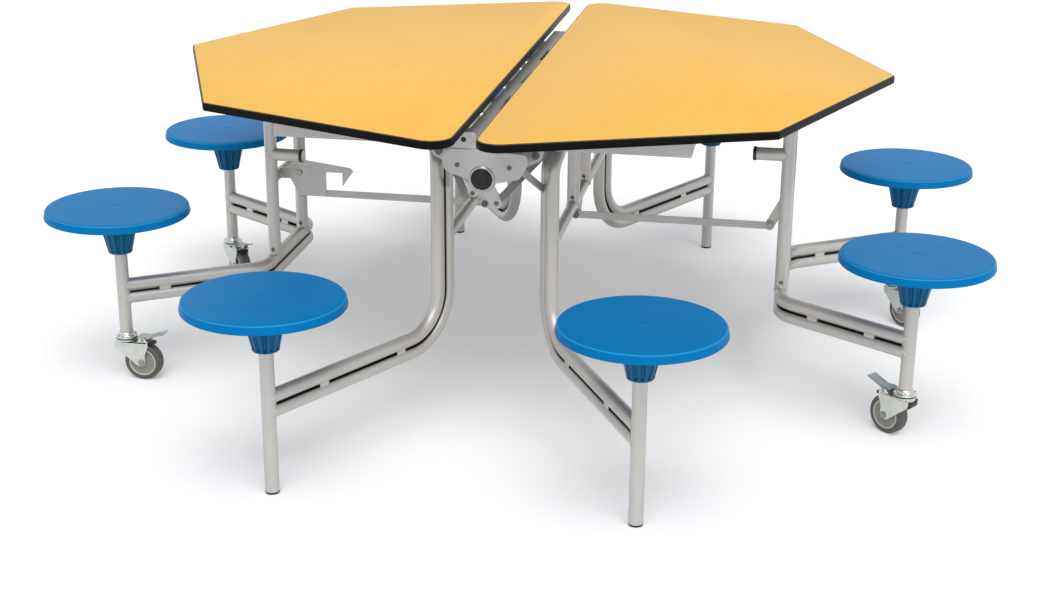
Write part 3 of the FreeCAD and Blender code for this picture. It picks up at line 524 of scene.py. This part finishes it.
# Pivot bolts, rivets and nuts: zinc plated steel, dulled by handling and darker
# on the wings.
bolt_zinc, shade = new_finish("zinc_bolts", Metallic=0.9)
shade.feed(
    Base_Color=shade.grain(120).mix((0.20, 0.20, 0.20, 1), (0.45, 0.45, 0.43, 1)),
    Roughness=shade.grain(300).spread(0.25, 0.5))
rivet_grey, shade = new_finish("dark_rivets", Metallic=0.6)
shade.feed(
    Base_Color=shade.grain(240).mix((0.06, 0.06, 0.058, 1), (0.20, 0.195, 0.19, 1)),
    Roughness=shade.grain(300).spread(0.3, 0.5))
for side in SIDES:
    dress("outer_bolts_" + side, bolt_zinc)
dress("centre_bolts", rivet_grey)

# Half-top boards: 18 mm board with a warm maple laminate on top, its edge eased
# all round, and a plain grey backing sheet underneath.
laminate, shade = new_finish("maple_laminate", IOR=1.4, Specular_IOR_Level=0.08)
cloud = shade.grain(4.0, 4.0, (1, 0.5, 1))
figure = shade.grain(45, 6.0, (1, 0.14, 1))
fleck = shade.grain(360, 2.0, (1, 0.25, 1))
maple = (cloud * 0.5 + figure * 0.35 + fleck * 0.15).ramp(
    (0.30, (0.850, 0.480, 0.084)), (0.50, (0.885, 0.518, 0.104)), (0.72, (0.912, 0.550, 0.128)))
not_underneath = axes(shade, "Normal")[2].math("GREATER_THAN", -0.5)
shade.feed(
    Base_Color=not_underneath.mix((0.30, 0.285, 0.26, 1), maple),
    Roughness=figure.spread(0.36, 0.48),
    Normal=fleck.bump(0.0001, 0.12))
top_z = 0.735
board_z = 0.717
top_gap = 0.023
top_flat = 0.762
gap_corner = 0.045
rim_corner = 0.014
band_inset = 0.0032


def half_top_ring(inset, z):
    """The right half-top's outline, moved inwards by inset."""
    reach = (top_flat - inset) / math.cos(half_eighth)
    diagonal = reach * math.sqrt(0.5)
    end = reach - math.tan(half_eighth) * inset
    corners = [(top_gap + inset, -end, gap_corner - inset),
               (top_gap + diagonal, -diagonal, rim_corner - inset),
               (top_gap + reach, 0, rim_corner - inset),
               (top_gap + diagonal, diagonal, rim_corner - inset),
               (top_gap + inset, end, gap_corner - inset)]
    return [(u, v, z) for u, v in rounded(corners)]


board_profile = [(band_inset, board_z), (band_inset, top_z - 0.0010), (0.0034, top_z - 0.0004),
                 (0.0040, top_z)]
board = skin([half_top_ring(inset, z) for inset, z in board_profile])
for side, x in SIDES.items():
    made = piece("board_" + side, board.flipped(x), laminate, "half_top_" + side,
                 crease=50)
    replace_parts(made, "tabletop_" + side)

# Edge band: black urethane moulded round each half-top, with a sloped shoulder
# along the laminate painted a paler brown-grey as a painted highlight, and a slightly crowned face.
shoulder_drop = 0.0020
band_black, shade = new_finish("black_edge_band", IOR=1.45, Specular_IOR_Level=0.07)
face_colour = shade.grain(80).mix((0.003, 0.003, 0.003, 1), (0.008, 0.008, 0.009, 1))
# Painted highlight: the top 2 mm of the band are painted a paler brown-grey.
shoulder_highlight = axes(shade, "Object")[2].math("GREATER_THAN", top_z - shoulder_drop)
shade.feed(
    Base_Color=shoulder_highlight.mix(face_colour, (0.055, 0.048, 0.040, 1)),
    Roughness=shade.grain(400).spread(0.32, 0.46),
    Normal=shade.grain(1200).bump(0.00015, 0.2))
band_profile = [
    (band_inset, board_z), (0.0014, board_z), (0.0005, board_z + 0.0006),
    (0.0001, board_z + 0.0022), (0.0, board_z + 0.0080), (0.0001, top_z - 0.0030),
    (0.0004, top_z - 0.0019), (0.0016, top_z - 0.0004), (0.0024, top_z - 0.0001),
    (band_inset, top_z - 0.0003)]
band = skin([half_top_ring(inset, z) for inset, z in band_profile], closed=True)
for side, x in SIDES.items():
    made = piece("edge_band_moulding_" + side, band.flipped(x), band_black,
                 "half_top_" + side)
    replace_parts(made, "edge_band_" + side)

# Under-frames, hinge brackets, link bars and the latch hook: pressed channel,
# sheared plate and flat bar in the same satin grey, screwed up with pan heads.
for side in SIDES:
    for node in ("under_frame_", "hinge_brackets_", "link_bar_"):
        dress(node + side, plate_grey)
dress("latch_hook", plate_grey)
screw_z = 0.713
inner_bracket_screws = ((0.086, 0.122), (-0.5440, -0.5160, 0.5160, 0.5440))
outer_bracket_screws = ((0.552, 0.588), (-0.1405, -0.0855, 0.0855, 0.1405))
pan_head = turned([(0, 0.0046), (-0.0008, 0.0046), (-0.0018, 0.0040), (-0.0025, 0.0026),
                   (-0.0026, 0.0005)], 20)
for side, x in SIDES.items():
    screws = Shapes()
    for columns, rows in (inner_bracket_screws, outer_bracket_screws):
        for y in rows:
            for u in columns:
                screws.join(pan_head.moved(Matrix.Translation((x * u, y, screw_z))))
    piece("bracket_screws_" + side, screws, bolt_zinc, "half_top_" + side)

# Outer frames: the same silver coated tube bent into a long U, with two seat
# posts, two legs up to the hinges, a cross tube and a buffer stub that ends in a
# black sleeve, all welded; their level groove between the twin tubes is painted
# near-black as painted shade.
outer_post = Vector((seat_circle * math.cos(half_eighth), -seat_circle * math.sin(half_eighth), 0))
outer_corner = Vector((0.621, -0.185, 0))
outer_arm_z = 0.218
leg_x = 0.620
leg_y = 0.113
cross_tube_z = 0.436
buffer_z = {"left": 0.499, "right": 0.564}
buffer_end_x = 0.538
upright_least = 0.6


def outer_groove_shade(shade):
    """Painted shade in the level groove of an outer frame."""
    height, facing = axes(shade, "Object")[2], axes(shade, "Normal")[2]
    return groove_shade(abs(height - outer_arm_z)) * abs(facing).math("GREATER_THAN", upright_least)


outer_silver = silver_coat("silver_outer_frame_shaded_groove", outer_groove_shade)
outer_heading = (outer_corner - outer_post).normalized()
half_welds = Shapes()
for lift in (-half_pitch, half_pitch):
    arm_end = (outer_post.x, outer_post.y, outer_arm_z + lift)
    half_welds.join(weld(arm_end, (0, 0, 1), outer_heading, tube, tube))
leg_foot = (leg_x, -leg_y, outer_arm_z + half_pitch)
cross_tube_end = (leg_x, -leg_y, cross_tube_z)
half_welds.join(weld(leg_foot, (0, 1, 0), (0, 0, 1), tube, tube),
                weld(cross_tube_end, (0, 0, 1), (0, 1, 0), tube, rail_tube))
sleeve = turned([(0.0010, 0.0144), (0.0012, 0.0158), (0.0020, 0.0165), (0.0072, 0.0165),
                 (0.0080, 0.0160), (0.0080, 0.01505), (0.0016, 0.01505), (0.0012, 0.0140)],
                closed=True)
end_disc = turned([(0.0001, 0.0020), (0.0001, 0.0118), (0.0006, 0.0134), (0.0014, 0.0142),
                   (0.0030, 0.0143)])
for side, x in SIDES.items():
    dress("outer_frame_" + side, outer_silver)
    unit = "outer_unit_" + side
    stub_weld = weld((leg_x, -leg_y, buffer_z[side]), (0, 0, 1), (-1, 0, 0), tube, tube)
    welds = Shapes().join(half_welds.flipped(x), half_welds.flipped(x, -1), stub_weld.flipped(x))
    piece("outer_frame_welds_" + side, welds, silver, unit)
    stub_end = (Matrix.Translation((x * buffer_end_x, -leg_y, buffer_z[side]))
                @ Matrix.Rotation(x * math.pi / 2, 4, "Y"))
    made = piece("buffer_sleeve_" + side, sleeve.moved(stub_end), black, unit)
    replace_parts(made, "buffer_cap_" + side)
    piece("buffer_end_" + side, end_disc.moved(stub_end), silver, unit)

# Seats: injection moulded blue polypropylene discs, hollow underneath, with a
# shallow gate mark in the middle, and a painted highlight along the rim's top edge.
ENDS = {"near": -1, "far": 1}
blue, shade = new_finish("blue_polypropylene", IOR=1.45, Specular_IOR_Level=0.05)
moulded = shade.grain(14, 3.0).mix((0.0005, 0.158, 0.420, 1), (0.0008, 0.204, 0.515, 1))
# Painted highlight: the rim's rounded top edge, where the normal slopes, is painted a paler blue.
rim_highlight_paint = axes(shade, "Normal")[2].ramp(
    (0.52, (0, 0, 0)), (0.66, (1, 1, 1)), (0.80, (1, 1, 1)), (0.93, (0, 0, 0)))
pebbles = shade.grain(1400, 2.0) * 0.6 + shade.grain(240, 2.0) * 0.4
shade.feed(
    Base_Color=rim_highlight_paint.mix(moulded, (0.024, 0.275, 0.575, 1)),
    Roughness=shade.grain(500).spread(0.30, 0.42),
    Normal=pebbles.bump(0.0003, 0.35))
seat_z = 0.408
seat_profile = [
    (0.0186, 0.0006), (0.0187, 0.0020), (0.0194, 0.0030), (0.0194, 0.0108), (0.0196, 0.0120),
    (0.0200, 0.0128), (0.0200, 0.0137), (0.0200, 0.1520), (0.0198, 0.1590), (0.0194, 0.1608),
    (0.0186, 0.1624), (0.0174, 0.1638), (0.0158, 0.1647), (0.0116, 0.1655), (0.0072, 0.1662),
    (0.0038, 0.1670), (0.0020, 0.1669), (0.0006, 0.1658), (0.0000, 0.1640), (0.0000, 0.1616),
    (0.0010, 0.1606), (0.0120, 0.1590), (0.0142, 0.1560), (0.0150, 0.1500), (0.0150, 0.0640),
    (0.0130, 0.0560), (0.0004, 0.0535), (0.0000, 0.0520), (0.0000, 0.0010)]
seat = turned(seat_profile, 96).moved(Matrix.Translation((0, 0, seat_z)))
posts = {"inner": inner_post, "outer": outer_post}
seat_places = {
    f"{kind}_{side}_{end}": Matrix.Translation((x * post.x, -y * post.y, 0))
    for kind, post in posts.items() for side, x in SIDES.items() for end, y in ENDS.items()}
for name, place in seat_places.items():
    made = piece("seat_disc_" + name, seat.moved(place), blue, "swivel_seat_" + name,
                 crease=32)
    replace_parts(made, "seat_" + name)

# Hubs: tapered blue polypropylene sockets under the seats, painted navy as painted
# shade, with twelve moulded ribs, a plain collar at each end and a bore that turns on the post.
shaded_hub_blue, shade = new_finish("hub_polypropylene_painted_shade", IOR=1.45, Specular_IOR_Level=0.24)
shade.feed(
    # Painted shade: the hubs' blue is painted as a dark navy for the shade under the seats.
    Base_Color=shade.grain(60).mix((0.0013, 0.112, 0.255, 1), (0.0020, 0.160, 0.355, 1)),
    Roughness=shade.grain(500).spread(0.22, 0.36),
    Normal=shade.grain(1400, 2.0).bump(0.0002, 0.3))
ribs = 12
hub_steps = 10 * ribs
groove_share = 0.14
groove_slope = 1.9
rib_width = 0.25
hub_levels = [
    (0.3880, 0.0006, 0), (0.3880, 0.01515, 0), (0.3168, 0.01515, 0), (0.3160, 0.0165, 0),
    (0.3160, 0.0262, 0), (0.3167, 0.0277, 0), (0.3200, 0.0285, 0), (0.3208, 0.0285, 0.6),
    (0.3225, 0.0286, 1), (0.3600, 0.0374, 1), (0.3960, 0.0470, 1), (0.4010, 0.0484, 0.8),
    (0.4030, 0.0490, 0), (0.4060, 0.0498, 0), (0.4080, 0.0500, 0)]
hub_rings = []
for z, radius, depth in hub_levels:
    ring = []
    for step in range(hub_steps):
        turn = 2 * math.pi * step / hub_steps
        groove = min(1, max(0, 0.5 - groove_slope * (math.cos(ribs * turn) + rib_width))) * depth
        outward = Vector((math.cos(turn), math.sin(turn), 0))
        ring.append(outward * radius * (1 - groove_share * groove) + Vector((0, 0, z)))
    hub_rings.append(ring)
hub = skin(hub_rings)
for name, place in seat_places.items():
    made = piece("hub_socket_" + name, hub.moved(place), shaded_hub_blue, "swivel_seat_" + name,
                 crease=42)
    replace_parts(made, "hub_" + name)

# Caster races: two pressed rings of bright zinc plated steel with balls and a
# black seal between them, held to the foot of each outer post by four nuts.
zinc, shade = new_finish("bright_zinc", Metallic=0.88)
shade.feed(
    Base_Color=shade.grain(60, 3.0).mix((0.46, 0.49, 0.45, 1), (0.70, 0.72, 0.68, 1)),
    Roughness=shade.grain(200).spread(0.16, 0.34),
    Normal=shade.grain(320, 2.0).bump(0.0003, 0.3))
trail_angles = {"left_near": 0, "left_far": -45, "right_near": 138, "right_far": -48}
caster_places = {}
for side, x in SIDES.items():
    for end, y in ENDS.items():
        corner = side + "_" + end
        caster_places[corner] = (Matrix.Translation((x * outer_post.x, -y * outer_post.y, 0))
                                 @ Matrix.Rotation(math.radians(trail_angles[corner]), 4, "Z"))
race_nut_turns = (45, 135, 225, 315)
race_nut_reach = 0.0214
race_nut_z = 0.1084


def nut(radius, height):
    """A hexagon nut with eased corners."""
    return turned([(0, radius * 0.94), (height * 0.1, radius), (height * 0.8, radius),
                   (height, radius * 0.86)], 6)


race = turned([
    (0.0980, 0.0200), (0.0980, 0.0250), (0.0986, 0.0259), (0.1010, 0.0262), (0.1017, 0.0256),
    (0.1023, 0.0238), (0.1033, 0.0234), (0.1041, 0.0246), (0.1050, 0.0254), (0.1074, 0.0254),
    (0.1083, 0.0247), (0.1088, 0.0230), (0.1090, 0.0202), (0.1100, 0.0192), (0.1150, 0.0182),
    (0.1172, 0.0170), (0.1180, 0.0152)], 64)
kingpin_end = turned([(0.0934, 0.0060), (0.0982, 0.0060)], 24)
race.join(kingpin_end)
for turn in race_nut_turns:
    place = (Matrix.Rotation(math.radians(turn), 4, "Z")
             @ Matrix.Translation((race_nut_reach, 0, race_nut_z)))
    race.join(nut(0.0036, 0.0034).moved(place))
seal = turned([(0.1014, 0.0240), (0.1018, 0.0250), (0.1028, 0.0250), (0.1034, 0.0240)], 48)
for side in SIDES:
    unit = "outer_unit_" + side
    places = [caster_places[side + "_" + end] for end in ENDS]
    races = Shapes().join(*(race.moved(place) for place in places))
    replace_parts(piece("caster_races_" + side, races, zinc, unit), "caster_mounts_" + side)
    seals = Shapes().join(*(seal.moved(place) for place in places))
    piece("race_seals_" + side, seals, black, unit)

# Caster forks: one pressing folded down over the wheel, with a crimped axle nut,
# the pedal's pin and a black brake block behind the wheel.
axle_x = 0.040
axle_z = 0.045
axle_radius = 0.005
pin_x = 0.046
pin_z = 0.103
pin_radius = 0.0025
fork_face = 0.019
fork_thickness = 0.003
block_reach = 0.0120
fork_leg = rounded([
    (-0.024, 0.0975, 0.003), (-0.024, 0.0815, 0.012), (0.0305, 0.0360, 0.0090),
    (0.0495, 0.0360, 0.0090), (0.0495, 0.0660, 0.012), (0.0580, 0.0850, 0.006),
    (0.0580, 0.0975, 0.003), (0.0505, 0.1075, 0.004), (0.0405, 0.1075, 0.004),
    (0.0320, 0.0975, 0.004)], 6)
crown = rounded([(-0.024, -fork_face, 0.017), (0.058, -fork_face, 0.003),
                 (0.058, fork_face, 0.003), (-0.024, fork_face, 0.017)])
fork = skin([[Vector((u, v, z)) for u, v in crown] for z in (0.0936, 0.0975)])
fork.join(pressed(fork_leg, fork_face - fork_thickness, fork_face),
          pressed(fork_leg, -fork_face, fork_thickness - fork_face))
for u, v, radius in ((axle_x, axle_z, axle_radius), (pin_x, pin_z, pin_radius)):
    shank = turned([(-fork_face, radius), (fork_face, radius)], 24)
    fork.join(shank.moved(facing_y(u, v)))
axle_end = turned([(0, 0.0088), (0.0009, 0.0088), (0.0013, 0.0080), (0.0013, 0.0010)], 32)
axle_end.join(nut(0.0066, 0.0032).moved(Matrix.Translation((0, 0, 0.0012))),
              turned([(0.0040, 0.0032), (0.0052, 0.0030), (0.0056, 0.0020)], 20))
axle_end = axle_end.moved(facing_y(axle_x, axle_z, fork_face))
pin_end = turned([(0, 0.0042), (0.0008, 0.0040), (0.0014, 0.0026)], 20)
pin_end = pin_end.moved(facing_y(pin_x, pin_z, fork_face))
axle_ends = Shapes().join(axle_end, axle_end.flipped(y=-1), pin_end, pin_end.flipped(y=-1))
block_outline = rounded([
    (0.0505, 0.0934, 0.001), (0.0500, 0.0915, 0.001), (0.0610, 0.0870, 0.002),
    (0.0690, 0.0860, 0.002), (0.0700, 0.0925, 0.002), (0.0640, 0.0950, 0.002)], 4)
brake_block = pressed(block_outline, -block_reach, block_reach)
for corner, place in caster_places.items():
    body = "fork_" + corner
    made = piece("fork_" + corner, fork.moved(place), zinc, body, edge=0.0005)
    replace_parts(made, "caster_fork_" + corner)
    piece("axle_nuts_" + corner, axle_ends.moved(place), bolt_zinc, body)
    piece("brake_block_" + corner, brake_block.moved(place), black, body,
          edge=0.0005)

# Caster wheels: a grey rubber tyre moulded on a grey-olive nylon core, with a
# pale thread guard between them.
tyre_grey, shade = new_finish("grey_rubber", IOR=1.5, Specular_IOR_Level=0.35)
shade.feed(
    Base_Color=shade.grain(90).mix((0.085, 0.080, 0.072, 1), (0.135, 0.128, 0.115, 1)),
    Roughness=shade.grain(300).spread(0.45, 0.65),
    Normal=shade.grain(700).bump(0.0002, 0.3))
core_olive, shade = new_finish("grey_olive_nylon", IOR=1.5)
shade.feed(
    Base_Color=shade.grain(140).mix((0.235, 0.230, 0.195, 1), (0.300, 0.295, 0.255, 1)),
    Roughness=shade.grain(400).spread(0.35, 0.5))
guard_pale, shade = new_finish("pale_thread_guard", IOR=1.5)
shade.feed(
    Base_Color=shade.grain(140).mix((0.52, 0.50, 0.46, 1), (0.62, 0.60, 0.56, 1)),
    Roughness=shade.grain(400).spread(0.3, 0.45))
tyre_side = [(-0.0122, 0.0328), (-0.0138, 0.0340), (-0.0140, 0.0352), (-0.0140, 0.0392),
             (-0.0134, 0.0420), (-0.0118, 0.0438), (-0.0090, 0.0449), (-0.0040, 0.0450)]
guard_side = [(-0.0120, 0.0298), (-0.0140, 0.0303), (-0.0145, 0.0312), (-0.0145, 0.0322),
              (-0.0140, 0.0332), (-0.0120, 0.0336)]
core_side = [(-0.0150, 0.0052), (-0.0150, 0.0086), (-0.0145, 0.0096), (-0.0124, 0.0106),
             (-0.0112, 0.0135), (-0.0108, 0.0235), (-0.0116, 0.0275), (-0.0130, 0.0300)]


def wheel_ring(profile):
    """A ring round the axle from one side's profile and its mirror image."""
    other_side = [(-z, radius) for z, radius in reversed(profile)]
    return turned(profile + other_side, 72, closed=True).moved(facing_y(axle_x, axle_z))


tyre, guard, core = (wheel_ring(profile) for profile in (tyre_side, guard_side, core_side))
for corner, place in caster_places.items():
    body = "wheel_" + corner
    made = piece("tyre_" + corner, tyre.moved(place), tyre_grey, body)
    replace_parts(made, "caster_wheel_" + corner)
    piece("thread_guard_" + corner, guard.moved(place), guard_pale, body)
    piece("wheel_core_" + corner, core.moved(place), core_olive, body)

# Brake pedals: a short pressed step on two flanges, passivated a dark blue grey,
# with ribs pressed across it for grip and a rolled front edge.
pedal_zinc, shade = new_finish("dark_passivated_zinc", Metallic=0.82)
shade.feed(
    Base_Color=shade.grain(160, 3.0).mix((0.15, 0.195, 0.205, 1), (0.52, 0.58, 0.56, 1)),
    Roughness=shade.grain(300).spread(0.22, 0.42))
step_z = 0.1065
step_thickness = 0.0025
step_reach = 0.0140
slope_x = 0.0607
slope_length = 0.036
slope_rise = 0.012
rib_reaches = (0.006, 0.013, 0.020, 0.027)
step = pressed([(0.0310, step_z), (0.0620, step_z), (0.0980, step_z + slope_rise),
                (0.0967, step_z + slope_rise + step_thickness),
                (slope_x, step_z + step_thickness), (0.0310, step_z + step_thickness)],
               -step_reach, step_reach)
flange = rounded([(0.0390, step_z, 0.0005), (0.0425, 0.0995, 0.002), (0.0495, 0.0995, 0.002),
                  (0.0620, step_z, 0.0005)], 4)
step.join(pressed(flange, -step_reach, step_thickness - step_reach),
          pressed(flange, step_reach - step_thickness, step_reach))
slope = (Matrix.Translation((slope_x, 0, step_z + step_thickness))
         @ Matrix.Rotation(-math.atan2(slope_rise, slope_length), 4, "Y"))
rib = turned([(-0.0105, 0.0004), (-0.0100, 0.0010), (0.0100, 0.0010), (0.0105, 0.0004)], 12)
rib = rib.moved(Matrix.Rotation(math.pi / 2, 4, "X"))
for reach in rib_reaches:
    step.join(rib.moved(slope @ Matrix.Translation((reach, 0, 0))))
rolled_edge = turned([(-step_reach, 0.0016), (step_reach, 0.0016)], 16)
step.join(rolled_edge.moved(facing_y(0.0972, step_z + 0.0132)))
for corner, place in caster_places.items():
    made = piece("pedal_step_" + corner, step.moved(place), pedal_zinc, "pedal_" + corner,
                 edge=0.0004)
    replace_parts(made, "brake_pedal_" + corner)
